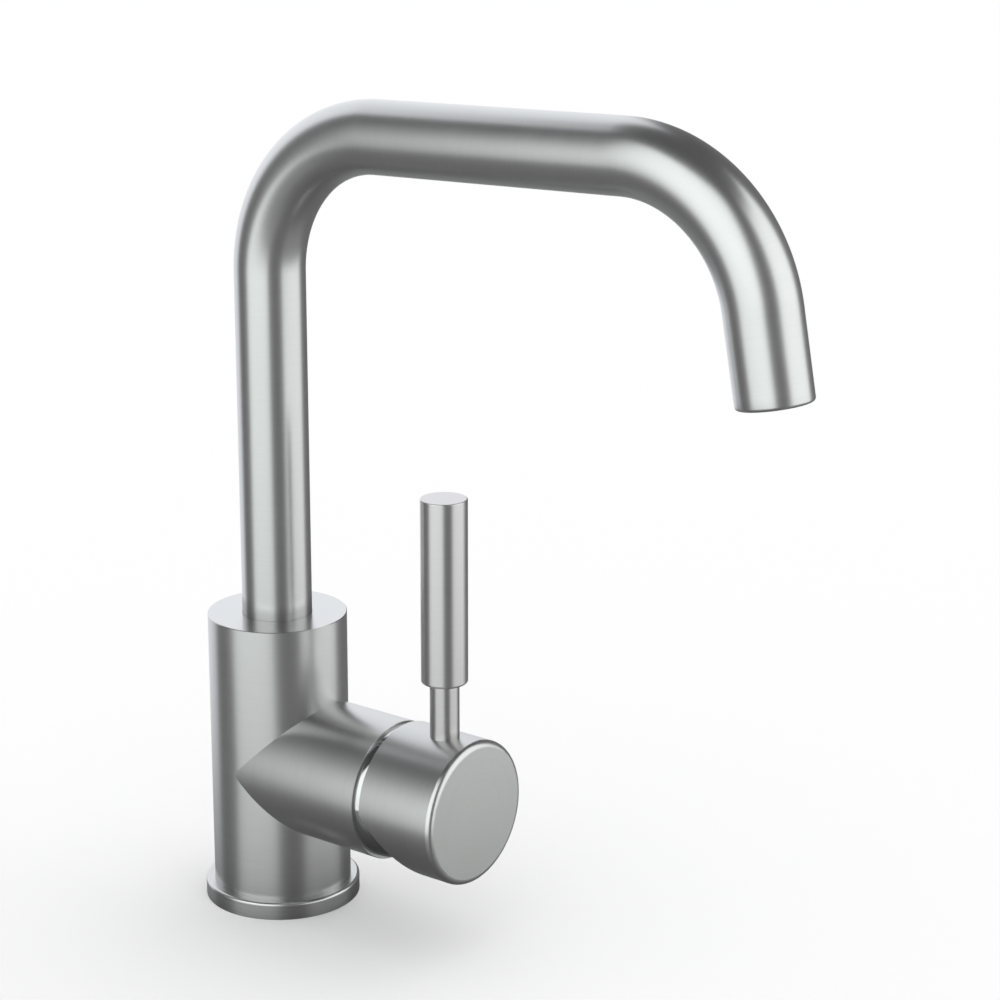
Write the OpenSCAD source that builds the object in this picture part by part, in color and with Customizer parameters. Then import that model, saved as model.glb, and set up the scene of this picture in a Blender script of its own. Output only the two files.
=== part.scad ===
// Single lever sink mixer: upright body with a side branch, a swivelling tube
// spout, and a round handle cap that tilts and turns over a domed cartridge.
// The origin is on the body's axis at deck level, +Z up, +X along branch and spout.

/* [Body] */
// Outer diameter of the upright body
body_d = 50; // [50:0.5:56]
// Height of the body's flat top above the deck
body_top = 108.4; // [100:0.4:150]
// Chamfer round the body's top edge
body_edge = 0.2; // [0.2:0.1:1]
// Outer diameter of the side branch
branch_d = 50; // [48.5:0.1:50]
// Height of the branch axis above the deck
branch_z = 53; // [50:0.5:62]
// Distance from the body axis to the branch's end face
branch_end = 55.5; // [54:0.5:70]
// Edge break round the branch's end
branch_edge = 0.2; // [0.2:0.1:0.8]
// Diameter of the hollow under the body
recess_d = 41; // [38:0.5:44]
// Height of the ceiling of the hollow under the body
recess_top = 22; // [18:0.5:27]

/* [Base ring] */
// Outer diameter of the base ring
ring_d = 56.4; // [53:0.2:66]
// Thickness of the base ring
ring_h = 6.3; // [3.5:0.1:8]
// Rounding of the base ring's top edge
ring_edge = 1; // [0.4:0.1:1.5]
// Wall of the ring's collar that centres the body
collar_wall = 2.3; // [1.5:0.1:3]
// Height of the centring collar above the ring
collar_h = 4; // [2:0.1:6]
// Inner diameter of the rubber gasket under the ring
gasket_d = 42.5; // [42:0.1:46]
// Width of the gasket's section
gasket_w = 4.6; // [3:0.1:5]
// Thickness of the gasket
gasket_h = 2; // [1.5:0.1:2.5]

/* [Supply side] */
// Tapping bore of the two hose ports
inlet_d = 9; // [8.5:0.1:9.5]
// Depth of the tapped part of a hose port
inlet_depth = 10; // [8:0.5:13]
// Sideways distance of each hose port from the body axis
inlet_y = 9.5; // [9:0.1:10.5]
// Forward distance of the hose ports from the body axis
inlet_x = 8; // [7:0.1:9]
// Bore of the rising supply channels
supply_d = 8; // [6.5:0.1:8.4]
// Tapping bore of the fixing stud's hole
stud_d = 6.8; // [5:0.1:8.5]
// Depth of the fixing stud's hole
stud_depth = 12; // [9:0.5:13]
// Distance of the stud's hole behind the body axis
stud_back = 12; // [10:0.1:14]
// Bore of the mixed water riser below the spout socket
riser_d = 9; // [7:0.1:9.4]

/* [Cartridge] */
// Bore of the cartridge chamber
chamber_d = 35.2; // [34.5:0.1:36.5]
// How far the tilt axis lies inside the branch's end face
pivot_inset = 0.5; // [0.4:0.1:2]
// Radial play of the cartridge in its chamber
chamber_play = 0.15; // [0.05:0.05:0.25]
// Thickness of the cartridge's base plate
base_t = 6.5; // [5:0.1:9]
// Height of the rim that holds the fixed disc
base_rim = 2; // [1.5:0.1:3]
// Diameter of the two pegs that key the base plate in the body
key_d = 3.8; // [3:0.1:4.4]
// Length of the keying pegs
key_l = 3; // [2:0.1:4]
// Sideways place of the keying pegs
key_y = 11.5; // [11:0.1:12.5]
// Depth of the keying pegs below the branch axis
key_z = 4; // [3:0.1:5]
// Bore of each supply port in the discs
port_in_d = 4.6; // [3.6:0.1:5]
// Bore of the mixed water port in the discs
port_out_d = 6; // [4.8:0.1:6.4]
// Sideways place of the supply ports
port_in_y = 5.8; // [5.4:0.1:6.2]
// Height of the supply ports above the branch axis
port_in_z = 3.8; // [3.6:0.1:4.2]
// Depth of the mixed water port below the branch axis
port_out_z = 7; // [6.6:0.1:7.4]
// Wall of the rubber port seals
seal_wall = 1.2; // [0.8:0.1:1.4]
// Diameter of the fixed ceramic disc
fixed_disc_d = 28.6; // [26.5:0.1:29]
// Thickness of the fixed ceramic disc
fixed_disc_t = 4; // [3:0.1:5]
// Diameter of the moving ceramic disc
moving_disc_d = 24; // [23:0.1:24.4]
// Thickness of the moving ceramic disc
moving_disc_t = 3.5; // [3:0.1:4.5]
// Depth of the mixing pocket in the moving disc
pocket_depth = 1.6; // [1:0.1:2]
// Wall left round the mixing pocket
pocket_wall = 1.6; // [1.4:0.1:2]
// Overlap of the moving disc over the supply ports while the lever is shut
shut_overlap = 0.8; // [0.5:0.1:1.2]
// Diameter of the two pegs that key the carrier to the moving disc
carrier_peg_d = 2.4; // [1.8:0.1:2.8]
// Length of the carrier's pegs
carrier_peg_l = 1.2; // [0.8:0.1:1.4]
// Distance from the carrier's pegs to the disc's edge
carrier_peg_edge = 3; // [2.4:0.1:3.4]
// Thickness of the floor under the ball's socket
socket_floor_t = 1.05; // [0.8:0.05:1.4]
// How far the carrier's boss reaches past the ball's centre at full tilt
boss_cover = 1.1; // [0.8:0.1:1.4]
// Thickness of the disc carrier's plate
carrier_t = 3; // [2.5:0.1:4]
// Radius of the carrier's boss
boss_r = 5; // [4.6:0.1:5.2]
// Thickness of the housing's rear wall
housing_wall = 1.8; // [1.4:0.1:2]
// Outer radius of the housing's neck
neck_r = 14.2; // [14:0.1:14.6]
// Radius of the turning rotor's neck
rotor_r = 12.5; // [12.2:0.1:12.6]
// Thickness of the rotor's flange
rotor_flange_t = 3.8; // [3:0.1:5]
// Height of the housing's shoulder above the rotor flange
shoulder_t = 3.4; // [2.5:0.1:4]
// How far the rotor reaches past the tilt axis
rotor_reach = 6; // [5:0.1:8]

/* [Lever spindle] */
// Full travel of the lever from shut to open, in degrees
tilt_max = 25; // [20:1:27]
// Distance from the tilt axis to the spindle's ball
arm = 13; // [12.6:0.1:13.4]
// Radius of the spindle's ball end
ball_r = 3.15; // [2.9:0.05:3.2]
// Radius of the spindle behind its ball
spindle_neck_r = 2.2; // [1.8:0.1:2.3]
// Side of the square spindle
spindle_w = 8; // [7:0.1:8.2]
// Gap along the spindle between its square and the carrier's boss
bar_set_back = 2.6; // [2.2:0.1:3.4]
// Radius of the tilt pin
pin_r = 1.5; // [1.2:0.1:2]
// Length of the tilt pin
pin_l = 23; // [20:0.5:24]
// Depth of the square spindle in the handle cap
spindle_grip = 8; // [7:0.1:9]

/* [Nut and dome] */
// Bore of the branch's threaded mouth
nut_bore_d = 38; // [37.5:0.1:40]
// Outer diameter of the nut's collar
nut_collar_d = 34.6; // [33:0.1:36]
// Length of the nut's collar outside the branch
nut_collar_l = 4.5; // [3:0.1:6]
// Width of the four wrench slots in the nut
wrench_slot_w = 4; // [3:0.1:5]
// Depth of the four wrench slots in the nut
wrench_slot_l = 2.5; // [1.5:0.1:2.8]
// Radius of the polished dome
dome_r = 23.9; // [23.2:0.1:24.2]
// Wall of the polished dome
dome_wall = 1.2; // [0.8:0.1:1.6]
// Radius of the dome's front opening
dome_mouth_r = 15; // [14.4:0.1:15.6]

/* [Handle] */
// Outer diameter of the handle cap
cap_d = 51.5; // [50.4:0.1:54]
// Gap from the branch's end to the cap's rear edge
cap_gap = 3.7; // [2.5:0.1:4.5]
// Length of the handle cap along the branch
cap_l = 31.6; // [31:0.1:36]
// Rounding of the cap's front rim
cap_rim_r = 2.2; // [0.6:0.1:2.8]
// Slant of the relief under the cap's skirt, in degrees
relief_angle = 38.5; // [34:0.5:40]
// Running gap between the cap and the dome
cap_play = 0.4; // [0.3:0.05:0.6]
// Distance from the cap's face to the lever's axis
lever_x = 13.9; // [12:0.1:15]
// Diameter of the lever's stem
stem_d = 10.3; // [9:0.1:12]
// Length of stem that shows between cap and grip
stem_l = 19.6; // [12:0.1:30]
// Diameter of the grip
grip_d = 16.3; // [14:0.1:20]
// Length of the grip
grip_l = 65.8; // [50:0.2:90]
// Rounding of the grip's lower edge
grip_low_r = 0.9; // [0.4:0.1:1.5]
// Rounding of the grip's upper edge
grip_top_r = 0.4; // [0.3:0.1:1]
// Depth of the stem inside the grip
stem_in_grip = 12; // [8:0.5:20]
// Diameter of the stem's thread in the cap
stem_thread_d = 8; // [6:0.1:8.8]
// Depth of the stem's thread in the cap
stem_thread_l = 7.5; // [5:0.5:8]
// Diameter of the handle's set screw
set_screw_d = 5; // [4:0.1:6]
// Length of the handle's set screw
set_screw_l = 9; // [6:0.5:12]
// Diameter of the plug that hides the set screw
plug_d = 6.4; // [6.2:0.1:8]
// Thickness of the plug
plug_t = 2.5; // [2:0.1:4]
// Land between the plug and the edge of the relief
plug_land = 0.6; // [0.4:0.1:1.2]

/* [Spout] */
// Outer diameter of the spout tube
tube_d = 25; // [22:0.5:28]
// Wall of the spout tube
tube_wall = 1.4; // [1:0.1:1.8]
// Height of the tube's centre line where the run starts
run_z = 283.8; // [230:0.2:340]
// Bending radius of both bends, at the centre line
bend_r = 51.3; // [40:0.1:60]
// Straight length between the bends
run_l = 99.2; // [60:0.2:150]
// Rise of the run towards the outlet, in degrees
run_rise = 2; // [0:0.5:6]
// Angle that the second bend turns, in degrees
front_turn = 81.4; // [70:0.2:92]
// Straight length after the second bend
end_l = 29.2; // [24:0.2:50]
// Rounding of the tube's outlet rim
outlet_r = 1.2; // [0.6:0.1:1.3]

/* [Spout joint] */
// Depth of the spout socket in the body
socket_depth = 38.4; // [36:0.2:42]
// Radial play of the tube in the socket
socket_play = 0.1; // [0.04:0.01:0.1]
// How deep the tube itself goes into the body
tube_insert = 9.4; // [8:0.2:12]
// Thickness of the washer under the spout
thrust_t = 1.4; // [1:0.1:2]
// Length of the coupling's spigot inside the tube
spigot_l = 9; // [6:0.5:14]
// Wall of the spout coupling under its O-ring grooves
coupling_wall = 2; // [1.4:0.1:3]
// Section diameter of the spout's O-rings
oring_d = 2; // [1.6:0.1:2.4]
// Height of the lower O-ring above the coupling's foot
oring_low_z = 4; // [3.4:0.1:4.4]
// Distance between the two O-rings
oring_pitch = 4.2; // [3.8:0.1:4.6]
// Height of the retaining groove above the coupling's foot
groove_z = 14.5; // [13.8:0.1:15.2]
// Width of the retaining groove
groove_w = 4; // [3.8:0.1:4.6]
// Depth of the retaining groove
groove_depth = 1.8; // [1.4:0.1:2]
// Height of the slip ring above the coupling's foot
slip_z = 21.5; // [20.6:0.1:22.4]
// Width of the slip ring
slip_w = 4; // [3:0.1:5]
// Depth of the slip ring's groove
slip_depth = 1.2; // [0.8:0.1:1.6]
// Diameter of the spout's lock screw
lock_d = 5; // [4:0.1:6]
// Diameter of the lock screw's point
lock_point_d = 3.2; // [2.4:0.1:3.4]
// How far the lock screw sits below the body's surface
lock_inset = 2.5; // [1:0.1:4]

/* [Outlet] */
// Distance from the tube's end to the aerator's face
outlet_recess = 1.6; // [1.4:0.1:3]
// Length of the threaded bush in the tube's end
bush_l = 14; // [13:0.5:18]
// Wall of the threaded bush
bush_wall = 1.2; // [1:0.1:1.6]
// Step of the bush's throat, which the washer seals on
throat_step = 2.4; // [1.6:0.1:3]
// Wall of the aerator's cup
cup_wall = 1.2; // [0.9:0.1:1.6]
// Thickness and reach of the lip that holds the inserts in the cup
cup_lip = 1; // [0.8:0.1:1.4]
// Length of the aerator's cup
cup_l = 9.5; // [8.5:0.1:10.5]
// Thickness of the outlet grid
grid_t = 2; // [1.4:0.1:2.6]
// Pitch of the outlet grid
grid_pitch = 2.1; // [1.8:0.1:2.8]
// Thickness of the outlet grid's webs
grid_web = 0.5; // [0.4:0.1:0.8]
// Pitch of the wires of the aerator's screen
screen_pitch = 2; // [1.6:0.1:2.6]
// Thickness of the screen's wires
screen_wire = 0.5; // [0.3:0.05:0.6]
// Thickness of the perforated jet plate
jet_t = 1.6; // [1.2:0.1:2]
// Distance between the rings of holes in the jet plate
jet_pitch = 3; // [2.4:0.1:3.2]
// Diameter of the holes in the jet plate
jet_hole_d = 1.1; // [0.8:0.1:1.4]
// Thickness of the aerator's rubber washer
washer_t = 1.5; // [1:0.1:2]

/* [Hidden] */
$fn = 96;
// Small overlap that keeps cuts open
cut = 1;
// Play between pieces that are pressed or screwed together
fit = 0.05;
// Play of a loose seat
seat = 0.1;
// Running play of a turning neck or pin
run_fit = 0.08;
// Gap between round faces that move past each other without bearing
clear_gap = 0.3;
// The bends come out this much thicker than the straights, which gives each joint a clean edge
bend_swell = 0.08;
// How far a straight reaches into the bend beside it
bend_lap = 0.3;
// How far a drilled riser runs past the passage that it meets
channel_lap = 0.5;
// Shares of a screw's diameter and length that the hollow for its key takes
key_share = 1/2;
key_reach = 1/3;

// Body
body_r = body_d/2;
branch_r = branch_d/2;
recess_r = recess_d/2;
collar_r = recess_r - seat;
collar_bore_r = collar_r - collar_wall;

// Cartridge stack, each place counted from the chamber's floor
chamber_r = chamber_d/2;
cartridge_r = chamber_r - chamber_play;
fixed_u = base_t;
moving_u = fixed_u + fixed_disc_t;
carrier_u = moving_u + moving_disc_t;
flange_u = carrier_u + carrier_t + 2*seat;
neck_u = flange_u + rotor_flange_t;
// The ball's socket starts above a thin floor in the carrier
socket_u = carrier_u + socket_floor_t;
ball_u = socket_u + ball_r + clear_gap;
pivot_u = ball_u + arm;
shoulder_u = neck_u + seat + shoulder_t;
// The carrier's boss still surrounds the ball at full tilt
boss_top_u = pivot_u - arm*cos(tilt_max) + boss_cover;
fixed_disc_r = fixed_disc_d/2;
moving_disc_r = moving_disc_d/2;
carrier_peg_y = moving_disc_r - carrier_peg_edge;
stroke = arm*sin(tilt_max);
disc_z = -stroke/2;
flange_r = cartridge_r - housing_wall - clear_gap;
socket_ball_r = ball_r + 2*seat;

// Places along the branch
pivot_x = branch_end - pivot_inset;
floor_x = pivot_x - pivot_u;
shoulder_x = floor_x + shoulder_u;
nut_bore_r = nut_bore_d/2;
nut_collar_r = nut_collar_d/2;
nut_hole_r = neck_r + seat;

// Handle
cap_r = cap_d/2;
cap_rear_x = branch_end + cap_gap;
cap_face_x = cap_rear_x + cap_l;
stem_x = cap_face_x - lever_x;
cap_cavity_r = dome_r + cap_play;
stem_top_z = branch_z + cap_r + stem_l;
spindle_half = spindle_w/2;
spindle_end_x = pivot_x + cap_cavity_r + spindle_grip;
set_screw_x = cap_rear_x + cap_r*tan(relief_angle) + plug_land + plug_d/2;

// Spout
tube_r = tube_d/2;
tube_bore_r = tube_r - tube_wall;
socket_r = tube_r + socket_play;
socket_z = body_top - socket_depth;
tube_foot_z = body_top - tube_insert;
coupling_r = socket_r - clear_gap;
coupling_z = socket_z + thrust_t + fit;
rear_bend_z = run_z - bend_r;
rear_turn = 90 - run_rise;
oring_r = oring_d/2;
oring_out_r = socket_r - fit;
oring_mid_r = oring_out_r - oring_r;
oring_floor_r = oring_out_r - oring_d - fit/2;
coupling_bore_r = oring_floor_r - coupling_wall;
lock_z = coupling_z + groove_z;
slip_bore_r = coupling_r - slip_depth;

// Outlet
bush_r = tube_bore_r - fit;
bush_bore_r = bush_r - bush_wall;
cup_r = bush_bore_r - fit;
cup_bore_r = cup_r - cup_wall;
screen_d = outlet_recess + cup_lip + grid_t + fit;
skirt_d = screen_d + screen_wire + fit;
insert_r = cup_bore_r - fit;

// Turns a piece's own height so that it lies along the branch, x from the body axis
module along_branch(x) {
    translate([x, 0, branch_z])
        rotate([0, 90, 0])
            children();
}

// Places a piece at a point of the chamber: u from its floor, y sideways, z up from the branch axis
module in_chamber(u, y = 0, z = 0) {
    translate([floor_x + u, y, branch_z + z])
        rotate([0, 90, 0])
            children();
}

// Half section of a cylinder whose top edge is rounded, for rotate_extrude
module rounded_half(r, h, edge) {
    square([r - edge, h]);
    square([r, h - edge]);
    translate([r - edge, h - edge])
        circle(edge);
}

module tube_ring(r_out, r_in, h) {
    difference() {
        cylinder(r = r_out, h = h);
        translate([0, 0, -cut])
            cylinder(r = r_in, h = h + 2*cut);
    }
}

// Hollow of a socket key in a screw's end
module hex_key(across, depth) {
    cylinder(d = across/cos(30), h = depth, $fn = 6);
}

// Puts its children at every port of the discs
module at_supply_ports(u) {
    for (side = [-1, 1])
        in_chamber(u, side*port_in_y, port_in_z)
            children();
}

module at_outlet_port(u) {
    in_chamber(u, 0, -port_out_z)
        children();
}

module base_gasket() {
    color([0.12, 0.12, 0.13])
        tube_ring(gasket_d/2 + gasket_w, gasket_d/2, gasket_h);
}

module base_ring() {
    color([0.74, 0.75, 0.75])
        difference() {
            union() {
                rotate_extrude()
                    rounded_half(ring_d/2, ring_h, ring_edge);
                cylinder(r = collar_r, h = ring_h + collar_h);
            }
            translate([0, 0, -cut])
                cylinder(r = collar_bore_r, h = ring_h + collar_h + 2*cut);
            translate([0, 0, -cut])
                tube_ring(gasket_d/2 + gasket_w + seat, gasket_d/2 - seat, gasket_h + seat + cut);
        }
}

module faucet_body() {
    color([0.7, 0.71, 0.71])
        difference() {
            union() {
                translate([0, 0, ring_h])
                    cylinder(r = body_r, h = body_top - ring_h - body_edge);
                translate([0, 0, body_top - body_edge])
                    cylinder(r1 = body_r, r2 = body_r - body_edge, h = body_edge);
                along_branch(0)
                    cylinder(r = branch_r, h = branch_end - branch_edge);
                along_branch(branch_end - branch_edge)
                    cylinder(r1 = branch_r, r2 = branch_r - branch_edge, h = branch_edge);
            }
            // Hollow for the hose ends, open to the deck
            translate([0, 0, ring_h - cut])
                cylinder(r = recess_r, h = recess_top - ring_h + cut);
            // Socket of the swivelling spout
            translate([0, 0, socket_z])
                cylinder(r = socket_r, h = socket_depth + cut);
            // Cartridge chamber and the threaded mouth of the branch
            in_chamber(0)
                cylinder(r = chamber_r, h = pivot_u);
            along_branch(shoulder_x - 2*seat)
                cylinder(r = nut_bore_r, h = branch_end - shoulder_x + 2*seat + cut);
            supply_channels();
            mixed_water_channel();
            for (side = [-1, 1])
                in_chamber(-key_l - seat, side*key_y, -key_z)
                    cylinder(d = key_d + 2*seat, h = key_l + seat + cut);
            // Fixing stud
            translate([-stud_back, 0, recess_top - cut])
                cylinder(d = stud_d, h = stud_depth + cut);
            // Lock screw of the spout, from the back
            translate([-body_r - cut, 0, lock_z])
                rotate([0, 90, 0])
                    cylinder(d = lock_d, h = body_r);
        }
}

// From each hose port up to its own port in the chamber's floor
module supply_channels() {
    passage_z = branch_z + port_in_z;
    for (side = [-1, 1]) {
        translate([inlet_x, side*inlet_y, recess_top - cut]) {
            cylinder(d = inlet_d, h = inlet_depth + cut);
            cylinder(d = supply_d, h = passage_z + port_in_d/2 + channel_lap - recess_top + cut);
        }
        translate([inlet_x, side*port_in_y, passage_z])
            rotate([0, 90, 0])
                cylinder(d = port_in_d, h = floor_x - inlet_x + cut);
    }
}

// From the chamber's floor back to the body's axis and up into the spout
module mixed_water_channel() {
    passage_z = branch_z - port_out_z;
    riser_foot = passage_z - port_out_d/2 - channel_lap;
    translate([0, 0, passage_z])
        rotate([0, 90, 0])
            cylinder(d = port_out_d, h = floor_x + cut);
    translate([0, 0, riser_foot])
        cylinder(d = riser_d, h = socket_z - riser_foot + cut);
}

module cartridge_base() {
    color([0.93, 0.93, 0.9])
        difference() {
            union() {
                in_chamber(0)
                    cylinder(r = cartridge_r, h = base_t + base_rim);
                for (side = [-1, 1])
                    in_chamber(-key_l, side*key_y, -key_z)
                        cylinder(d = key_d, h = key_l + cut);
            }
            in_chamber(base_t)
                cylinder(r = fixed_disc_r + seat, h = base_rim + cut);
            at_supply_ports(-cut)
                cylinder(r = port_in_d/2 + seal_wall + fit, h = base_t + 2*cut);
            at_outlet_port(-cut)
                cylinder(r = port_out_d/2 + seal_wall + fit, h = base_t + 2*cut);
        }
}

module port_seals() {
    color([0.16, 0.16, 0.17]) {
        at_supply_ports(0)
            tube_ring(port_in_d/2 + seal_wall, port_in_d/2, base_t);
        at_outlet_port(0)
            tube_ring(port_out_d/2 + seal_wall, port_out_d/2, base_t);
    }
}

module fixed_disc() {
    color([0.97, 0.96, 0.93])
        difference() {
            in_chamber(fixed_u)
                cylinder(r = fixed_disc_r, h = fixed_disc_t);
            at_supply_ports(fixed_u - cut)
                cylinder(d = port_in_d, h = fixed_disc_t + 2*cut);
            at_outlet_port(fixed_u - cut)
                cylinder(d = port_out_d, h = fixed_disc_t + 2*cut);
        }
}

module moving_disc() {
    color([0.95, 0.94, 0.91])
        difference() {
            in_chamber(moving_u, 0, disc_z)
                cylinder(r = moving_disc_r, h = moving_disc_t);
            // Mixing pocket, whose upper edge stays just under the supply ports while shut
            difference() {
                in_chamber(moving_u - cut, 0, disc_z)
                    cylinder(r = moving_disc_r - pocket_wall, h = pocket_depth + cut);
                translate([floor_x, -body_r, branch_z + port_in_z - port_in_d/2 - shut_overlap])
                    cube([pivot_u, body_d, body_r]);
            }
            for (side = [-1, 1])
                in_chamber(carrier_u - carrier_peg_l - seat, side*carrier_peg_y, disc_z)
                    cylinder(d = carrier_peg_d + 2*fit, h = carrier_peg_l + seat + cut);
        }
}

module disc_carrier() {
    color([0.85, 0.84, 0.8])
        difference() {
            union() {
                in_chamber(carrier_u, 0, disc_z)
                    cylinder(r = moving_disc_r, h = carrier_t);
                in_chamber(carrier_u)
                    cylinder(r = boss_r, h = boss_top_u - carrier_u);
                for (side = [-1, 1])
                    in_chamber(carrier_u - carrier_peg_l, side*carrier_peg_y, disc_z)
                        cylinder(d = carrier_peg_d, h = carrier_peg_l + cut);
            }
            in_chamber(socket_u)
                cylinder(r = socket_ball_r, h = pivot_u);
        }
}

module cartridge_rotor() {
    slot_w = 2*boss_r + 4*seat;
    color([0.9, 0.9, 0.87])
        difference() {
            union() {
                in_chamber(flange_u)
                    cylinder(r = flange_r, h = rotor_flange_t);
                in_chamber(neck_u)
                    cylinder(r = rotor_r, h = pivot_u + rotor_reach - neck_u);
            }
            // Slot that guides the carrier's boss as the disc slides
            translate([floor_x + flange_u - cut, -slot_w/2, branch_z - slot_w/2])
                cube([boss_top_u - flange_u + clear_gap + cut, slot_w, stroke + slot_w]);
            // Room for the square spindle from shut to full tilt
            for (a = [0, tilt_max])
                translate([pivot_x, 0, branch_z])
                    rotate([0, a, 0])
                        spindle_room();
            pin_shape(pin_r + fit/2, body_d);
        }
}

// Reaches back past the ball, so that the ball and its neck also pass at full tilt
module spindle_room() {
    w = spindle_w + clear_gap;
    back = arm + ball_r;
    translate([-back, -w/2, -w/2])
        cube([back + rotor_reach + 2*spindle_w, w, w]);
}

module pin_shape(r, l) {
    translate([pivot_x, l/2, branch_z])
        rotate([90, 0, 0])
            cylinder(r = r, h = l);
}

module tilt_pin() {
    color([0.8, 0.8, 0.82])
        pin_shape(pin_r, pin_l);
}

module cartridge_housing() {
    color([0.88, 0.88, 0.86])
        difference() {
            union() {
                in_chamber(base_t + base_rim)
                    cylinder(r = cartridge_r, h = shoulder_u - base_t - base_rim);
                in_chamber(shoulder_u)
                    cylinder(r = neck_r, h = pivot_u - pivot_inset - shoulder_u);
            }
            in_chamber(0)
                cylinder(r = cartridge_r - housing_wall, h = neck_u + seat);
            in_chamber(neck_u)
                cylinder(r = rotor_r + run_fit, h = pivot_u);
        }
}

module cartridge_nut() {
    nut_l = branch_end - shoulder_x;
    color([0.82, 0.68, 0.38])
        difference() {
            union() {
                along_branch(shoulder_x)
                    cylinder(r = nut_bore_r - fit, h = nut_l - branch_edge);
                along_branch(shoulder_x)
                    cylinder(r = nut_collar_r, h = nut_l + nut_collar_l);
            }
            along_branch(shoulder_x - cut)
                cylinder(r = nut_hole_r, h = nut_l + nut_collar_l + 2*cut);
            for (turn = [0, 90])
                translate([branch_end + nut_collar_l - wrench_slot_l, 0, branch_z])
                    rotate([turn, 0, 0])
                        translate([0, -body_r, -wrench_slot_w/2])
                            cube([wrench_slot_l + cut, body_d, wrench_slot_w]);
        }
}

module dome_cover() {
    color([0.9, 0.91, 0.92])
        along_branch(pivot_x)
            rotate_extrude()
                dome_half();
}

// Half section of the dome: a spherical shell on a flat rear flange, with a hub round the nut's collar
module dome_half() {
    hub_bore = nut_collar_r + fit;
    hub_top = pivot_inset + nut_collar_l;
    difference() {
        intersection() {
            circle(dome_r);
            translate([dome_mouth_r, pivot_inset])
                square(dome_r);
        }
        difference() {
            circle(dome_r - dome_wall);
            square([dome_r, pivot_inset + dome_wall]);
            square([hub_bore + dome_wall, hub_top]);
        }
        square([hub_bore, hub_top]);
    }
}

module cap_solid() {
    along_branch(cap_rear_x)
        rotate_extrude()
            rounded_half(cap_r, cap_l, cap_rim_r);
}

module handle_cap() {
    slant = tan(relief_angle)*cap_d;
    color([0.68, 0.69, 0.69])
        difference() {
            cap_solid();
            // Concave seat that follows the dome
            translate([pivot_x, 0, branch_z])
                sphere(r = cap_cavity_r);
            // Relief that lets the skirt swing back under the branch
            translate([0, cap_d, branch_z])
                rotate([90, 0, 0])
                    linear_extrude(2*cap_d)
                        polygon([[cap_rear_x, 0], [cap_rear_x - cap_l, 0],
                                 [cap_rear_x - cap_l, -cap_d], [cap_rear_x + slant, -cap_d]]);
            // Square socket of the spindle
            translate([pivot_x, -spindle_half - fit, branch_z - spindle_half - fit])
                cube([spindle_end_x - pivot_x + seat, spindle_w + 2*fit, spindle_w + 2*fit]);
            // Thread of the lever's stem
            translate([stem_x, 0, branch_z + cap_r - stem_thread_l - seat])
                cylinder(d = stem_thread_d, h = stem_thread_l + cut + seat);
            // Set screw and its plug, from below
            translate([set_screw_x, 0, branch_z - cap_d])
                cylinder(d = set_screw_d, h = cap_d - spindle_half);
            translate([set_screw_x, 0, branch_z - cap_d])
                cylinder(d = plug_d, h = cap_r + plug_t);
        }
}

module screw_plug() {
    color([0.62, 0.63, 0.63])
        intersection() {
            translate([set_screw_x, 0, branch_z - cap_d])
                cylinder(d = plug_d - 2*fit, h = cap_r + plug_t - fit);
            cap_solid();
        }
}

module handle_set_screw() {
    top_z = branch_z - spindle_half - fit;
    color([0.3, 0.3, 0.32])
        difference() {
            translate([set_screw_x, 0, top_z - set_screw_l])
                cylinder(d = set_screw_d - 2*fit, h = set_screw_l);
            translate([set_screw_x, 0, top_z - set_screw_l - cut])
                hex_key(set_screw_d*key_share, set_screw_l*key_reach + cut);
        }
}

module lever_stem() {
    color([0.7, 0.71, 0.71])
        union() {
            // The foot is cut to the cap's round so that it sits all over
            difference() {
                translate([stem_x, 0, branch_z])
                    cylinder(d = stem_d, h = cap_r + stem_l + stem_in_grip);
                along_branch(cap_rear_x)
                    cylinder(r = cap_r, h = cap_l);
            }
            translate([stem_x, 0, branch_z + cap_r - stem_thread_l])
                cylinder(d = stem_thread_d - 2*fit, h = stem_thread_l + cut);
        }
}

module lever_grip() {
    color([0.72, 0.73, 0.73])
        translate([stem_x, 0, stem_top_z])
            difference() {
                rotate_extrude()
                    grip_half();
                translate([0, 0, -cut])
                    cylinder(d = stem_d + fit, h = stem_in_grip + seat + cut);
            }
}

// Half section of the grip, rounded at both ends
module grip_half() {
    r = grip_d/2;
    translate([0, grip_low_r])
        square([r, grip_l - grip_low_r - grip_top_r]);
    square([r - max(grip_low_r, grip_top_r), grip_l]);
    square([r - grip_low_r, grip_l/2]);
    translate([0, grip_l/2])
        square([r - grip_top_r, grip_l/2]);
    translate([r - grip_low_r, grip_low_r])
        circle(grip_low_r);
    translate([r - grip_top_r, grip_l - grip_top_r])
        circle(grip_top_r);
}

module lever_spindle() {
    bar_back = pivot_u - boss_top_u - bar_set_back;
    color([0.76, 0.72, 0.6])
        difference() {
            union() {
                translate([pivot_x - bar_back, -spindle_half, branch_z - spindle_half])
                    cube([spindle_end_x - pivot_x + bar_back, spindle_w, spindle_w]);
                in_chamber(ball_u)
                    cylinder(r = spindle_neck_r, h = arm - bar_back + cut);
                in_chamber(ball_u)
                    sphere(r = ball_r);
            }
            pin_shape(pin_r + run_fit, body_d);
        }
}

module thrust_washer() {
    color([0.92, 0.92, 0.9])
        translate([0, 0, socket_z])
            tube_ring(socket_r - seat, coupling_bore_r, thrust_t);
}

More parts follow.
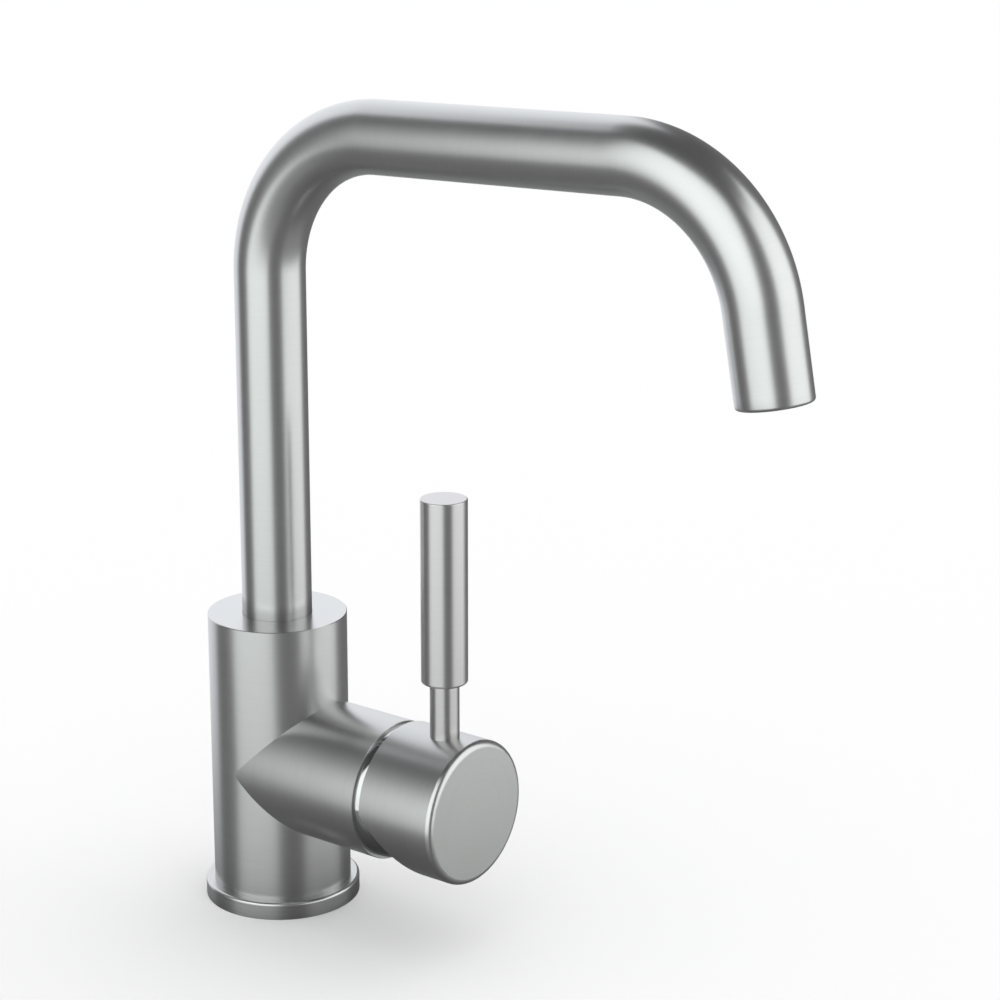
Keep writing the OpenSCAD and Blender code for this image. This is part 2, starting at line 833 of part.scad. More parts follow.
module spout_lock_screw() {
    shank_l = body_r - socket_r - lock_inset;
    point_l = socket_r - coupling_r + groove_depth - clear_gap;
    color([0.35, 0.35, 0.37])
        translate([-socket_r - fit, 0, lock_z])
            rotate([0, -90, 0])
                difference() {
                    union() {
                        cylinder(d = lock_d - 2*fit, h = shank_l);
                        translate([0, 0, -point_l - fit])
                            cylinder(d = lock_point_d, h = point_l + fit + cut);
                    }
                    translate([0, 0, shank_l - shank_l*key_reach])
                        hex_key(lock_d*key_share, shank_l*key_reach + cut);
                }
}

module spout_coupling() {
    foot_l = tube_foot_z - coupling_z;
    color([0.8, 0.66, 0.36])
        translate([0, 0, coupling_z])
            difference() {
                union() {
                    cylinder(r = coupling_r, h = foot_l);
                    cylinder(r = tube_bore_r - fit, h = foot_l + spigot_l);
                }
                translate([0, 0, -cut])
                    cylinder(r = coupling_bore_r, h = foot_l + spigot_l + 2*cut);
                for (z = [oring_low_z, oring_low_z + oring_pitch])
                    translate([0, 0, z - oring_r - seat])
                        ring_groove(oring_floor_r, oring_d + 2*seat);
                translate([0, 0, groove_z - groove_w/2])
                    ring_groove(coupling_r - groove_depth, groove_w);
                translate([0, 0, slip_z - slip_w/2])
                    ring_groove(slip_bore_r - fit, slip_w);
            }
}

module ring_groove(floor_r, w) {
    difference() {
        cylinder(r = tube_r + cut, h = w);
        translate([0, 0, -cut])
            cylinder(r = floor_r, h = w + 2*cut);
    }
}

module o_ring(z) {
    color([0.1, 0.1, 0.11])
        translate([0, 0, coupling_z + z])
            rotate_extrude()
                translate([oring_mid_r, 0])
                    circle(oring_r);
}

module lower_o_ring() {
    o_ring(oring_low_z);
}

module upper_o_ring() {
    o_ring(oring_low_z + oring_pitch);
}

module slip_ring() {
    color([0.94, 0.94, 0.92])
        translate([0, 0, coupling_z + slip_z - slip_w/2 + fit])
            tube_ring(socket_r - fit, slip_bore_r, slip_w - 2*fit);
}

// A round bar of radius r along the spout, from the height foot to tip past the outlet's end
module spout_path(r, foot, tip) {
    translate([0, 0, foot])
        cylinder(r = r, h = rear_bend_z - foot + bend_lap);
    translate([0, 0, rear_bend_z]) {
        bend(r, rear_turn);
        after_bend(rear_turn) {
            translate([0, 0, -bend_lap])
                cylinder(r = r, h = run_l + 2*bend_lap);
            translate([0, 0, run_l]) {
                bend(r, front_turn);
                after_bend(front_turn)
                    translate([0, 0, -bend_lap])
                        cylinder(r = r, h = end_l + tip + bend_lap);
            }
        }
    }
}

// One bend that starts upwards along the piece's own height and turns towards +X
module bend(r, turn) {
    translate([bend_r, 0, 0])
        rotate([90, 0, 180])
            rotate_extrude(angle = turn)
                translate([bend_r, 0])
                    circle(r + bend_swell);
}

module after_bend(turn) {
    translate([bend_r, 0, 0])
        rotate([0, turn, 0])
            translate([-bend_r, 0, 0])
                children();
}

// Frame of the outlet: origin at the tube's end, height running back up into the tube
module at_outlet() {
    translate([0, 0, rear_bend_z])
        after_bend(rear_turn)
            translate([0, 0, run_l])
                after_bend(front_turn)
                    translate([0, 0, end_l])
                        rotate([180, 0, 0])
                            children();
}

module spout_tube() {
    color([0.71, 0.72, 0.72])
        difference() {
            spout_path(tube_r, tube_foot_z, 0);
            spout_path(tube_bore_r, tube_foot_z - cut, cut);
            // Rounded rim at the outlet
            at_outlet()
                difference() {
                    translate([0, 0, -cut])
                        cylinder(r = tube_r + cut, h = outlet_r + cut);
                    translate([0, 0, -2*cut])
                        cylinder(r = tube_r - outlet_r, h = outlet_r + 3*cut);
                    rotate_extrude()
                        translate([tube_r - outlet_r, outlet_r])
                            circle(outlet_r);
                }
        }
}

module outlet_bush() {
    color([0.74, 0.75, 0.75])
        at_outlet()
            difference() {
                translate([0, 0, outlet_recess])
                    cylinder(r = bush_r, h = bush_l);
                translate([0, 0, outlet_recess - cut])
                    cylinder(r = bush_bore_r, h = cup_l + washer_t + cut);
                // A narrower throat makes the shoulder that the rubber washer seals on
                cylinder(r = bush_bore_r - throat_step, h = outlet_recess + bush_l + cut);
            }
}

module aerator_cup() {
    color([0.9, 0.9, 0.9])
        at_outlet()
            translate([0, 0, outlet_recess])
                difference() {
                    cylinder(r = cup_r, h = cup_l);
                    translate([0, 0, cup_lip])
                        cylinder(r = cup_bore_r, h = cup_l);
                    translate([0, 0, -cut])
                        cylinder(r = cup_bore_r - cup_lip, h = cup_l);
                }
}

module aerator_grid() {
    color([0.86, 0.86, 0.86])
        at_outlet()
            translate([0, 0, outlet_recess + cup_lip])
                mesh_disc(grid_t, grid_pitch, grid_web);
}

module aerator_screen() {
    color([0.75, 0.76, 0.77])
        at_outlet()
            translate([0, 0, screen_d])
                mesh_disc(screen_wire, screen_pitch, screen_wire);
}

// A disc of crossing webs inside a plain rim that stands on the cup's lip
module mesh_disc(t, pitch, web) {
    rim_r = insert_r - cup_lip;
    n = floor(rim_r/pitch);
    tube_ring(insert_r, rim_r, t);
    intersection() {
        cylinder(r = (insert_r + rim_r)/2, h = t);
        union() {
            for (i = [-n:n], turn = [0, 90])
                rotate([0, 0, turn])
                    translate([i*pitch - web/2, -insert_r, 0])
                        cube([web, 2*insert_r, t]);
        }
    }
}

// A perforated plate whose skirt stands on the screen
module jet_plate() {
    skirt_l = outlet_recess + cup_l - skirt_d;
    color([0.9, 0.9, 0.88])
        at_outlet()
            translate([0, 0, skirt_d])
                difference() {
                    cylinder(r = insert_r, h = skirt_l);
                    translate([0, 0, -cut])
                        cylinder(r = insert_r - cup_lip, h = skirt_l - jet_t + cut);
                    for (ring = [1, 2], i = [0:6*ring - 1])
                        rotate([0, 0, i*60/ring])
                            translate([ring*jet_pitch, 0, skirt_l - jet_t - cut])
                                cylinder(d = jet_hole_d, h = jet_t + 2*cut);
                }
}

module aerator_washer() {
    color([0.14, 0.14, 0.15])
        at_outlet()
            translate([0, 0, outlet_recess + cup_l])
                tube_ring(cup_r, cup_bore_r - cup_lip, washer_t);
}

base_gasket();
base_ring();
faucet_body();
cartridge_base();
port_seals();
fixed_disc();
cartridge_housing();
cartridge_nut();
dome_cover();
thrust_washer();
spout_lock_screw();
spout_tube();
spout_coupling();
lower_o_ring();
upper_o_ring();
slip_ring();
outlet_bush();
aerator_cup();
aerator_grid();
aerator_screen();
jet_plate();
aerator_washer();
cartridge_rotor();
tilt_pin();
disc_carrier();
moving_disc();
handle_cap();
lever_stem();
lever_grip();
lever_spindle();
handle_set_screw();
screw_plug();
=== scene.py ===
import math

import bpy
from mathutils import Matrix, Vector


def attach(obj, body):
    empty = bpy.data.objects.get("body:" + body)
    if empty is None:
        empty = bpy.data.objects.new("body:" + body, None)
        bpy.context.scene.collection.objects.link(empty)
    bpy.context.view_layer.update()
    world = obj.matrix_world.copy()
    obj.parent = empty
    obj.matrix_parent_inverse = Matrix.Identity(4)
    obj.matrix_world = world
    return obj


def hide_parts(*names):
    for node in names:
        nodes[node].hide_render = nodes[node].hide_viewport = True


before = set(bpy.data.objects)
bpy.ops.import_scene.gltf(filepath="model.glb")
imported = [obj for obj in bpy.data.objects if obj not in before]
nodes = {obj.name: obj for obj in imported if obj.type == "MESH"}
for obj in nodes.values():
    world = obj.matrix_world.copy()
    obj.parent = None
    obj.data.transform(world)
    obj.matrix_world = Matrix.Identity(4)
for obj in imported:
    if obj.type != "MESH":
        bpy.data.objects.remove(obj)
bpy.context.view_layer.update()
print("stage: frame loaded,", len(nodes), "nodes")


# Shader building: a sum or product of wires adds its own Math nodes

class shaderWire:
    def __init__(self, graph, socket):
        self.graph = graph
        self.socket = socket

    def combine(self, operation, first, second=0.0):
        made = self.graph.add("ShaderNodeMath", {"operation": operation}, {0: first, 1: second})
        return made.wire("Value")

    def __add__(self, other):
        return self.combine("ADD", self, other)

    def __radd__(self, other):
        return self.combine("ADD", other, self)

    def __sub__(self, other):
        return self.combine("SUBTRACT", self, other)

    def __rsub__(self, other):
        return self.combine("SUBTRACT", other, self)

    def __mul__(self, other):
        return self.combine("MULTIPLY", self, other)

    def __rmul__(self, other):
        return self.combine("MULTIPLY", other, self)

    def __pow__(self, other):
        return self.combine("POWER", self, other)

    def root(self):
        return self.combine("SQRT", self)

    def arctan(self, other):
        return self.combine("ARCTAN2", self, other)

    def arcsine(self):
        return self.combine("ARCSINE", self)

    def smooth(self, low, high, start=0.0, end=1.0):
        settings = {"interpolation_type": "SMOOTHSTEP", "clamp": True}
        sockets = {0: self, 1: low, 2: high, 3: start, 4: end}
        return self.graph.add("ShaderNodeMapRange", settings, sockets).wire("Result")


class shaderNode:
    def __init__(self, graph, node):
        self.graph = graph
        self.node = node

    def wire(self, name):
        return shaderWire(self.graph, self.node.outputs[name])


class shaderGraph:
    def __init__(self, tree):
        self.tree = tree
        tree.nodes.clear()

    def add(self, kind, settings=None, sockets=None):
        node = self.tree.nodes.new(kind)
        for name, value in (settings or {}).items():
            setattr(node, name, value)
        for name, value in (sockets or {}).items():
            if isinstance(value, shaderWire):
                self.tree.links.new(value.socket, node.inputs[name])
            else:
                node.inputs[name].default_value = value
        return shaderNode(self, node)

    def splitPoint(self, vector):
        parts = self.add("ShaderNodeSeparateXYZ", {}, {"Vector": vector})
        return parts.wire("X"), parts.wire("Y"), parts.wire("Z")

    def joinPoint(self, x, y, z):
        return self.add("ShaderNodeCombineXYZ", {}, {"X": x, "Y": y, "Z": z}).wire("Vector")

    def scaled(self, vector, factor):
        return self.add("ShaderNodeVectorMath", {"operation": "SCALE"}, {0: vector, 3: factor}).wire("Vector")

    def plus(self, first, second):
        return self.add("ShaderNodeVectorMath", {"operation": "ADD"}, {0: first, 1: second}).wire("Vector")

    def noise(self, vector, scale=1.0, detail=2.0, roughness=0.5):
        sockets = {"Vector": vector, "Scale": scale, "Detail": detail, "Roughness": roughness}
        return self.add("ShaderNodeTexNoise", {}, sockets).wire("Fac")

    def mixColor(self, factor, first, second):
        # The Mix node's colours are its inputs 6 and 7 and its output 2
        mixed = self.add("ShaderNodeMix", {"data_type": "RGBA"}, {0: factor, 6: first, 7: second})
        return mixed.wire(2)

    def bump(self, height, strength, distance):
        sockets = {"Strength": strength, "Distance": distance, "Height": height}
        return self.add("ShaderNodeBump", {}, sockets).wire("Normal")

    def mixShader(self, factor, first, second):
        return self.add("ShaderNodeMixShader", {}, {0: factor, 1: first, 2: second}).wire("Shader")


def newPaint(name):
    material = bpy.data.materials.new(name)
    material.use_nodes = True
    return material, shaderGraph(material.node_tree)


# Camera, fitted to the photo's outlines

cameraFit = {
    "place": (0.62525, -0.68537, 0.42010),
    "forward": (-0.58330, 0.76226, -0.28056),
    "roll": 0.109,  # degrees
    "lens": 97.49,  # millimetres
    "sensor": 36.0,  # width in millimetres
    "clip": (0.01, 50),
}


def buildCamera(fit):
    forward = Vector(fit["forward"]).normalized()
    level = forward.cross(Vector((0, 0, 1))).normalized()
    lift = level.cross(forward)
    roll = math.radians(fit["roll"])
    right = level*math.cos(roll) + lift*math.sin(roll)
    up = lift*math.cos(roll) - level*math.sin(roll)
    data = bpy.data.cameras.new("camera")
    data.lens = fit["lens"]
    data.sensor_width = fit["sensor"]
    data.clip_start, data.clip_end = fit["clip"]
    camera = bpy.data.objects.new("camera", data)
    bpy.context.scene.collection.objects.link(camera)
    turn = Matrix((right, up, -forward)).transposed().to_4x4()
    camera.matrix_world = Matrix.Translation(Vector(fit["place"])) @ turn
    bpy.context.scene.camera = camera


buildCamera(cameraFit)
bpy.context.scene.view_settings.view_transform = "Standard"
print("stage: camera placed")


# Studio surroundings: three upright soft boxes with dark gaps between them, which the metal reflects.
# All else is lit at a plain level, a little more from the back and right, as the photo's soft shadow shows.

studio = {
    # Level directions from the object towards the camera and to its right, from which angles count
    "towardsCamera": (0.60771, -0.79416),
    "rightwards": (0.79416, 0.60771),
    # Level, the two edges in degrees round the object from the camera's side, and tint of each box
    "boxes": (
        (1.345, -73.7, -2, (0.955, 1.0, 0.985)),
        (1.24, 42, 114.5, (0.965, 1.0, 0.985)),
        (1.01, 175, 243, (0.965, 0.99, 1.04)),
    ),
    "edgeWidth": 3,  # degrees to each side of a box's edge
    # The boxes' light comes up in three steps: first and last height in degrees, first and last share
    "lowEdges": ((-60, -40, 0.0, 0.1), (-23.5, -19.5, 0.0, 0.78), (-14, 8, 0.0, 0.16)),
    "highEdge": (50, 56),  # heights between which it ends
    # The gaps' own light, in the same form
    "gapLow": (-90, -40, 0.115, 0.155),
    "gapHigh": (10, 55, 0.0, -0.085),
    # What is lost where metal shows in metal, and the bounce from which that counts
    "secondLoss": 0.22,
    "secondBounce": (1.4, 1.6),
    # Soft key light: its direction and its edges by cosine, then the plain level and the key's own
    "keyDirection": (0.3, 0.63, 0.717),
    "keyEdges": (0.3, 0.95),
    "plainLevel": 0.86,
    "keyLevel": 0.35,
}


def buildWorld(looks):
    world = bpy.data.worlds.new("studioWorld")
    bpy.context.scene.world = world
    world.use_nodes = True
    graph = shaderGraph(world.node_tree)
    x, y, z = graph.splitPoint(graph.add("ShaderNodeTexCoord").wire("Generated"))
    frontX, frontY = looks["towardsCamera"]
    sideX, sideY = looks["rightwards"]
    fullTurn = 360
    inDegrees = fullTurn/2/math.pi
    turn = (x*sideX + y*sideY).arctan(x*frontX + y*frontY) * inDegrees
    lift = z.arcsine() * inDegrees
    low = 0.0
    for edge in looks["lowEdges"]:
        low = lift.smooth(*edge) + low
    tall = low * (1.0 - lift.smooth(*looks["highEdge"]))
    gaps = lift.smooth(*looks["gapLow"]) + lift.smooth(*looks["gapHigh"])
    light = graph.joinPoint(gaps, gaps, gaps)
    width = looks["edgeWidth"]
    for level, start, end, tint in looks["boxes"]:
        # Counted again one turn further on, for the box that crosses the back
        for around in (turn + fullTurn, turn):
            rise = around.smooth(start - width, start + width)
            fall = around.smooth(end - width, end + width)
            light = graph.plus(light, graph.scaled(tint, rise * (1.0 - fall) * tall * level))
    path = graph.add("ShaderNodeLightPath")
    again = path.wire("Glossy Depth").smooth(*looks["secondBounce"])
    light = graph.scaled(light, 1.0 - looks["secondLoss"]*again)
    keyX, keyY, keyZ = looks["keyDirection"]
    key = (x*keyX + y*keyY + z*keyZ).smooth(*looks["keyEdges"])
    plain = key*looks["keyLevel"] + looks["plainLevel"]
    # The camera itself sees plain white
    seen = path.wire("Is Camera Ray")
    plain = seen + (1.0 - seen)*plain
    color = graph.mixColor(path.wire("Is Glossy Ray"), graph.joinPoint(plain, plain, plain), light)
    back = graph.add("ShaderNodeBackground", {}, {"Color": color, "Strength": 1.0})
    graph.add("ShaderNodeOutputWorld", {}, {"Surface": back.wire("Background")})


# The floor is white paper. The metal looks through it at the studio, with painted shade close to the object:
# a black sheet faded in by occlusion.

floorPaper = {
    "size": 6,
    "color": (0.99, 0.99, 0.992, 1.0),
    "roughness": 0.9,
    "specular": 0.0,
    "grainScale": 60.0,
    "grainDetail": 3.0,
    "grain": 0.05,
    "grainDepth": 0.0002,
    # Painted shade that the metal sees in the floor close to the object: its colour, reach, power and samples
    "paintedShadeColor": (0.0, 0.0, 0.0, 1.0),
    "shadeReach": 0.12,
    "shadePower": 1.4,
    "shadeSamples": 8,
}


def buildFloor(looks):
    bpy.ops.mesh.primitive_plane_add(size=looks["size"])
    floor = bpy.context.active_object
    floor.name = "floor"
    material, graph = newPaint("floorPaint")
    place = graph.add("ShaderNodeTexCoord").wire("Object")
    grain = graph.noise(place, looks["grainScale"], looks["grainDetail"])
    sockets = {"Base Color": looks["color"], "Roughness": looks["roughness"],
               "Specular IOR Level": looks["specular"],
               "Normal": graph.bump(grain, looks["grain"], looks["grainDepth"])}
    paper = graph.add("ShaderNodeBsdfPrincipled", {}, sockets).wire("BSDF")
    settings = {"samples": looks["shadeSamples"]}
    # Painted shade: where the object occludes the floor, the metal sees a black sheet there instead of the
    # studio
    free = graph.add("ShaderNodeAmbientOcclusion", settings, {"Distance": looks["shadeReach"]}).wire("AO")
    dark = graph.add("ShaderNodeBsdfDiffuse", {}, {"Color": looks["paintedShadeColor"]}).wire("BSDF")
    clear = graph.add("ShaderNodeBsdfTransparent").wire("BSDF")
    through = graph.mixShader(free**looks["shadePower"], dark, clear)
    glossy = graph.add("ShaderNodeLightPath").wire("Is Glossy Ray")
    surface = graph.mixShader(glossy, paper, through)
    graph.add("ShaderNodeOutputMaterial", {}, {"Surface": surface})
    floor.data.materials.append(material)
    # It keeps no light from the metal's underside
    floor.visible_shadow = False


buildWorld(studio)
buildFloor(floorPaper)
print("stage: studio built")


# The bent tube, drawn as one smooth sweep so that its reflections run without a break

spoutTube = {
    "radius": 0.0125,
    "wall": 0.0014,
    "foot": 0.0990,  # height inside the body where the tube starts
    "bendStart": 0.2325,  # height where the rear bend starts
    "bendRadius": 0.0513,  # of both bends
    "runLength": 0.0992,
    "rise": 2.0,  # degrees that the run climbs
    "frontTurn": 81.4,  # degrees of the front bend
    "endLength": 0.0292,
    "rimRadius": 0.0012,
    "around": 128,
    "bendSteps": (56, 52),  # rear and front bend
    "straightSteps": (40, 30, 10),  # riser, run and end
    "rimSteps": 6,
    "mergeDistance": 0.000005,
    "smoothAngle": 35,
}


def planRoute(tube):
    bend = tube["bendRadius"]
    rise = math.radians(tube["rise"])
    frontTurn = math.radians(tube["frontTurn"])
    drop = frontTurn - rise
    runWay = Vector((math.cos(rise), 0, math.sin(rise)))
    endWay = Vector((math.cos(drop), 0, -math.sin(drop)))
    rearCentre = Vector((bend, 0, tube["bendStart"]))
    runStart = rearCentre + bend*Vector((-math.sin(rise), 0, math.cos(rise)))
    runEnd = runStart + runWay*tube["runLength"]
    frontCentre = runEnd + bend*Vector((math.sin(rise), 0, -math.cos(rise)))
    endStart = frontCentre + bend*Vector((math.sin(drop), 0, math.cos(drop)))
    return {
        "foot": Vector((0, 0, tube["foot"])),
        "upLength": tube["bendStart"] - tube["foot"],
        "rise": rise,
        "rearTurn": math.radians(90) - rise,
        "frontTurn": frontTurn,
        "upWay": Vector((0, 0, 1)),
        "runWay": runWay,
        "endWay": endWay,
        "rearCentre": rearCentre,
        "frontCentre": frontCentre,
        "runStart": runStart,
        "endStart": endStart,
        "tip": endStart + endWay*tube["endLength"],
    }


def extrudeAlong(direction, length=1.0, steps=1):
    for step in range(steps):
        move = tuple(direction * (length/steps))
        bpy.ops.mesh.extrude_region_move(TRANSFORM_OT_translate={"value": move})


def resizeRing(factor, centre):
    bpy.ops.transform.resize(value=(factor, factor, factor), center_override=centre)


def spinRound(centre, angle, steps):
    bpy.ops.mesh.spin(steps=steps, angle=angle, center=centre, axis=(0, 1, 0))


def sweepOutside(tube, route):
    rearSteps, frontSteps = tube["bendSteps"]
    upSteps, runSteps, endSteps = tube["straightSteps"]
    extrudeAlong(route["upWay"], route["upLength"], upSteps)
    spinRound(route["rearCentre"], -route["rearTurn"], rearSteps)
    extrudeAlong(route["runWay"], tube["runLength"], runSteps)
    spinRound(route["frontCentre"], -route["frontTurn"], frontSteps)
    extrudeAlong(route["endWay"], tube["endLength"] - tube["rimRadius"], endSteps)


def roundRim(tube, route):
    tip = route["tip"]
    endWay = route["endWay"]
    radius = tube["radius"]
    rim = tube["rimRadius"]
    centre = tip - endWay*rim
    size = radius
    for step in range(1, tube["rimSteps"] + 1):
        turn = math.radians(90)*step/tube["rimSteps"]
        newCentre = tip - endWay*rim*(1 - math.sin(turn))
        newSize = radius - rim*(1 - math.cos(turn))
        extrudeAlong(newCentre - centre)
        resizeRing(newSize/size, newCentre)
        centre = newCentre
        size = newSize
    return size


def sweepBore(tube, route, rimSize):
    onTheSpot = Vector((0, 0, 0))
    bore = tube["radius"] - tube["wall"]
    # Half the outside's steps do for the bends inside
    rearSteps, frontSteps = (steps//2 for steps in tube["bendSteps"])
    # A flat land from the rim to the bore, then back through the tube and out to its foot
    extrudeAlong(onTheSpot)
    resizeRing(bore/rimSize, route["tip"])
    extrudeAlong(-route["endWay"], tube["endLength"])
    spinRound(route["frontCentre"], route["frontTurn"], frontSteps)
    extrudeAlong(-route["runWay"], tube["runLength"])
    spinRound(route["rearCentre"], route["rearTurn"], rearSteps)
    extrudeAlong(-route["upWay"], route["upLength"])
    extrudeAlong(onTheSpot)
    resizeRing(tube["radius"]/bore, route["foot"])


def lengthAlong(point, tube, route):
    bend = tube["bendRadius"]
    fromRear = point - route["rearCentre"]
    fromFront = point - route["frontCentre"]
    rearAngle = math.atan2(fromRear.z, -fromRear.x)
    frontAngle = math.atan2(fromFront.x, fromFront.z) + route["rise"]
    toRun = route["upLength"] + bend*route["rearTurn"]
    toFront = toRun + tube["runLength"]
    if point.x < bend and point.z < route["rearCentre"].z:
        return point.z - tube["foot"]
    if 0 <= rearAngle <= route["rearTurn"]:
        return route["upLength"] + bend*rearAngle
    if frontAngle <= 0:
        return toRun + (point - route["runStart"]).dot(route["runWay"])
    if frontAngle <= route["frontTurn"]:
        return toFront + bend*frontAngle
    return toFront + bend*route["frontTurn"] + (point - route["endStart"]).dot(route["endWay"])


def buildSpout(tube):
    route = planRoute(tube)
    bpy.ops.object.select_all(action="DESELECT")
    bpy.ops.mesh.primitive_circle_add(vertices=tube["around"], radius=tube["radius"], fill_type="NOTHING",
                                      location=route["foot"])
    spout = bpy.context.active_object
    spout.name = "spoutTubeSmooth"
    bpy.ops.object.transform_apply(location=True, rotation=True, scale=True)
    bpy.ops.object.mode_set(mode="EDIT")
    bpy.ops.mesh.select_all(action="SELECT")
    sweepOutside(tube, route)
    rimSize = roundRim(tube, route)
    sweepBore(tube, route, rimSize)
    bpy.ops.mesh.select_all(action="SELECT")
    bpy.ops.mesh.remove_doubles(threshold=tube["mergeDistance"])
    bpy.ops.mesh.normals_make_consistent(inside=False)
    bpy.ops.object.mode_set(mode="OBJECT")
    bpy.ops.object.shade_smooth_by_angle(angle=math.radians(tube["smoothAngle"]))
    # The grain goes round the tube by the length along the route
    along = spout.data.attributes.new("alongTube", "FLOAT", "POINT")
    for number, vertex in enumerate(spout.data.vertices):
        along.data[number].value = lengthAlong(vertex.co, tube, route)
    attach(spout, "spout")
    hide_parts("spout_tube")
    return spout


spout = buildSpout(spoutTube)
print("stage: spout drawn,", len(spout.data.polygons), "faces")


# What the metals and the moulded materials share: noise is even about its middle, and so is a mix

middle = 0.5


def spread(noise, share):
    return (noise - middle)*share


def colorMix(graph, tone, looks):
    dark, pale = (tuple(min(1.0, part*share) for part in looks["color"]) + (1.0,) for share in looks["tones"])
    return graph.mixColor(tone + middle, dark, pale)


def finishPaint(graph, material, sockets):
    paint = graph.add("ShaderNodeBsdfPrincipled", {}, sockets)
    graph.add("ShaderNodeOutputMaterial", {}, {"Surface": paint.wire("BSDF")})
    return material


# Metals. Turning and brushing leave fine rings round each piece's own axis.

satinSteel = {
    "color": (0.62, 0.622, 0.618),
    "tones": (0.92, 1.08),  # darkest and palest, as shares of the colour
    "toneSpread": 0.9,
    "roughness": 0.30,
    "roughSpread": 0.07,
    # Fine and coarse rings to a metre, their shares of the grain, and how soon they break off
    "fine": 4200.0,
    "coarse": 1500.0,
    "fineShare": 0.6,
    "coarseShare": 0.4,
    "broken": 90.0,
    "coarseBroken": 0.6,
    "grain": 0.12,
    "grainDepth": 0.00002,
    # Slow clouds over the rings
    "cloudScale": 32.0,
    "cloudDetail": 3.0,
    "cloudSpread": 0.04,
    "cloudTone": 0.25,
    "centre": (0.0, 0.0, 0.0),
}
branchCentre = (0.0, 0.0, 0.053)
# The body's rings go round the branch's axis from just beyond its upright side, on the branch's side only.
# Its faced top is a little glossier than its turned side.
bodySteel = dict(satinSteel, branchCentre=branchCentre, branchEdge=(0.02502, 0.02506),
                 branchSide=(0.0, 0.004), topEdge=(0.10832, 0.10837), topGloss=0.06)
ringSteel = dict(satinSteel, toneSpread=2.2, coarse=1300.0)
leverSteel = dict(satinSteel, color=(0.637, 0.621, 0.626), centre=(0.0769, 0.0, 0.0))
capSteel = dict(satinSteel, centre=branchCentre)
domeSteel = dict(capSteel, color=(0.62, 0.623, 0.625), roughness=0.05, roughSpread=0.02, cloudSpread=0.02,
                 toneSpread=0.3, grain=0.02)
turnedBrass = dict(satinSteel, color=(0.72, 0.54, 0.28), toneSpread=1.2, grain=0.3)
nutBrass = dict(turnedBrass, centre=branchCentre)
screwSteel = dict(satinSteel, color=(0.4, 0.4, 0.42), roughness=0.34, toneSpread=0.8)


def turnedPlace(x, y, z, centre, axis):
    centreX, centreY, centreZ = centre
    if axis == "x":
        first, second, length = y - centreY, z - centreZ, x
    else:
        first, second, length = x - centreX, y - centreY, z
    # A flat face gets rings too, because the distance from the axis counts like length
    across = length + (first*first + second*second).root()
    return first, second, across


def ringNoise(graph, first, second, across, looks):
    first = first*looks["broken"]
    second = second*looks["broken"]
    wide = looks["coarseBroken"]
    fine = graph.joinPoint(first, second, across*looks["fine"])
    coarse = graph.joinPoint(first*wide, second*wide, across*looks["coarse"])
    return graph.noise(fine, detail=3.0, roughness=0.6), graph.noise(coarse)


def brushedMetal(name, looks, axis="z", attribute=None):
    material, graph = newPaint(name)
    place = graph.add("ShaderNodeTexCoord").wire("Object")
    x, y, z = graph.splitPoint(place)
    if attribute:
        along = graph.add("ShaderNodeAttribute", {"attribute_name": attribute}).wire("Fac")
        fine, coarse = ringNoise(graph, x, y + z, along, looks)
    else:
        fine, coarse = ringNoise(graph, *turnedPlace(x, y, z, looks["centre"], axis), looks)
    if "branchCentre" in looks:
        onBranch = (x*x + y*y).root().smooth(*looks["branchEdge"]) * x.smooth(*looks["branchSide"])
        branchPlace = turnedPlace(x, y, z, looks["branchCentre"], "x")
        fineBranch, coarseBranch = ringNoise(graph, *branchPlace, looks)
        fine = fine + (fineBranch - fine)*onBranch
        coarse = coarse + (coarseBranch - coarse)*onBranch
    cloud = graph.noise(place, looks["cloudScale"], looks["cloudDetail"])
    grain = fine*looks["fineShare"] + coarse*looks["coarseShare"]
    roughness = looks["roughness"] + spread(grain, looks["roughSpread"]) + spread(cloud, looks["cloudSpread"])
    if "topEdge" in looks:
        roughness = roughness - z.smooth(*looks["topEdge"])*looks["topGloss"]
    tone = spread(grain, looks["toneSpread"]) + spread(cloud, looks["cloudTone"])
    sockets = {"Base Color": colorMix(graph, tone, looks), "Metallic": 1.0, "Roughness": roughness,
               "Normal": graph.bump(grain, looks["grain"], looks["grainDepth"])}
    return finishPaint(graph, material, sockets)


bodyMetal = brushedMetal("bodyMetal", bodySteel)
uprightMetal = brushedMetal("uprightMetal", satinSteel)
ringMetal = brushedMetal("ringMetal", ringSteel)
spoutMetal = brushedMetal("spoutMetal", satinSteel, attribute="alongTube")
leverMetal = brushedMetal("leverMetal", leverSteel)
capMetal = brushedMetal("capMetal", capSteel, axis="x")
domeMetal = brushedMetal("domeMetal", domeSteel, axis="x")
brassMetal = brushedMetal("brassMetal", turnedBrass)
nutMetal = brushedMetal("nutMetal", nutBrass, axis="x")
screwMetal = brushedMetal("screwMetal", screwSteel)


# Moulded and lapped materials: speckle, slow flow marks and a faint skin

whitePlastic = {
    "color": (0.78, 0.78, 0.76),
    "tones": (0.86, 1.14),
    "roughness": 0.36,
    "roughSpread": 0.08,
    "specular": 0.5,
    "speckleScale": 1800.0,
    "speckle": 0.4,
    "flowScale": 70.0,
    "flow": 0.5,
    "flowSpread": 0.06,
    "skin": 0.1,
    "skinDepth": 0.00003,
}
rubber = dict(whitePlastic, color=(0.03, 0.03, 0.032), roughness=0.62, roughSpread=0.12, specular=0.35,
              speckleScale=2600.0, speckle=1.2, flowScale=90.0, skin=0.35)
housingPlastic = dict(whitePlastic, color=(0.7, 0.7, 0.67), roughness=0.45)
outletPlastic = dict(whitePlastic, color=(0.56, 0.57, 0.58), roughness=0.3)
discCeramic = dict(whitePlastic, color=(0.82, 0.80, 0.75), roughness=0.16, speckle=0.8, speckleScale=5200.0,
                   skin=0.05)


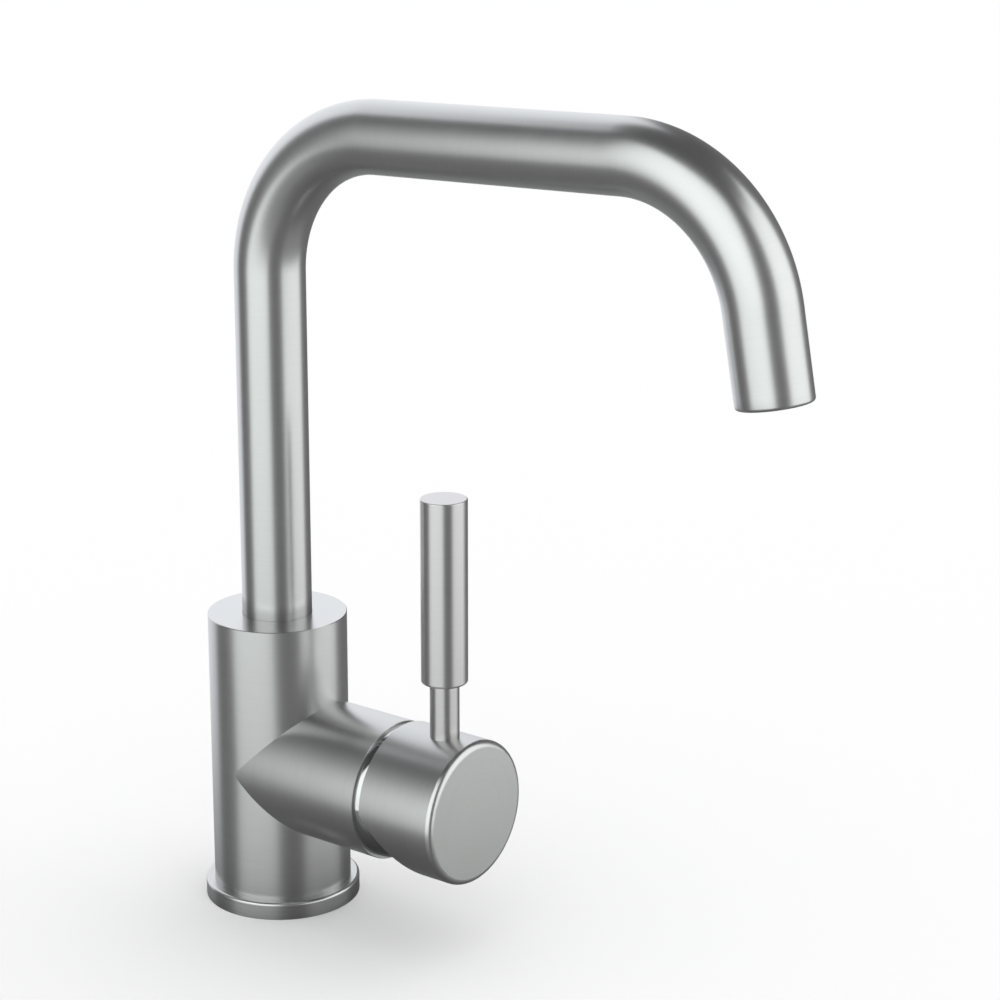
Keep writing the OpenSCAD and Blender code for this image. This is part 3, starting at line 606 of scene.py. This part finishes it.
def mouldedPaint(name, looks):
    material, graph = newPaint(name)
    place = graph.add("ShaderNodeTexCoord").wire("Object")
    speckle = graph.noise(place, looks["speckleScale"], detail=3.0, roughness=0.6)
    flow = graph.noise(place, looks["flowScale"])
    tone = spread(speckle, looks["speckle"]) + spread(flow, looks["flow"])
    roughness = looks["roughness"] + spread(speckle, looks["roughSpread"]) + spread(flow, looks["flowSpread"])
    sockets = {"Base Color": colorMix(graph, tone, looks), "Roughness": roughness,
               "Normal": graph.bump(speckle, looks["skin"], looks["skinDepth"]),
               "Specular IOR Level": looks["specular"]}
    return finishPaint(graph, material, sockets)


rubberPaint = mouldedPaint("rubberPaint", rubber)
whitePaint = mouldedPaint("whitePaint", whitePlastic)
housingPaint = mouldedPaint("housingPaint", housingPlastic)
outletPaint = mouldedPaint("outletPaint", outletPlastic)
ceramicPaint = mouldedPaint("ceramicPaint", discCeramic)


# Which material each piece gets

nodePaints = {
    "faucet_body": bodyMetal, "base_ring": ringMetal, "outlet_bush": uprightMetal,
    "lever_stem": leverMetal, "lever_grip": leverMetal, "handle_cap": capMetal, "screw_plug": capMetal,
    "dome_cover": domeMetal, "cartridge_nut": nutMetal, "spout_coupling": brassMetal,
    "lever_spindle": nutMetal, "tilt_pin": screwMetal, "spout_lock_screw": screwMetal,
    "handle_set_screw": screwMetal, "aerator_screen": screwMetal,
    "base_gasket": rubberPaint, "port_seals": rubberPaint, "lower_o_ring": rubberPaint,
    "upper_o_ring": rubberPaint, "aerator_washer": rubberPaint,
    "thrust_washer": whitePaint, "slip_ring": whitePaint,
    "cartridge_base": housingPaint, "cartridge_housing": housingPaint, "cartridge_rotor": housingPaint,
    "disc_carrier": housingPaint, "jet_plate": outletPaint, "aerator_cup": outletPaint,
    "aerator_grid": outletPaint, "fixed_disc": ceramicPaint, "moving_disc": ceramicPaint,
}


def paintPiece(piece, material):
    if not piece.material_slots:
        piece.data.materials.append(material)
    for slot in piece.material_slots:
        slot.material = material


for name, material in nodePaints.items():
    paintPiece(nodes[name], material)
paintPiece(spout, spoutMetal)
print("stage: materials given to", len(nodePaints), "nodes and the spout")
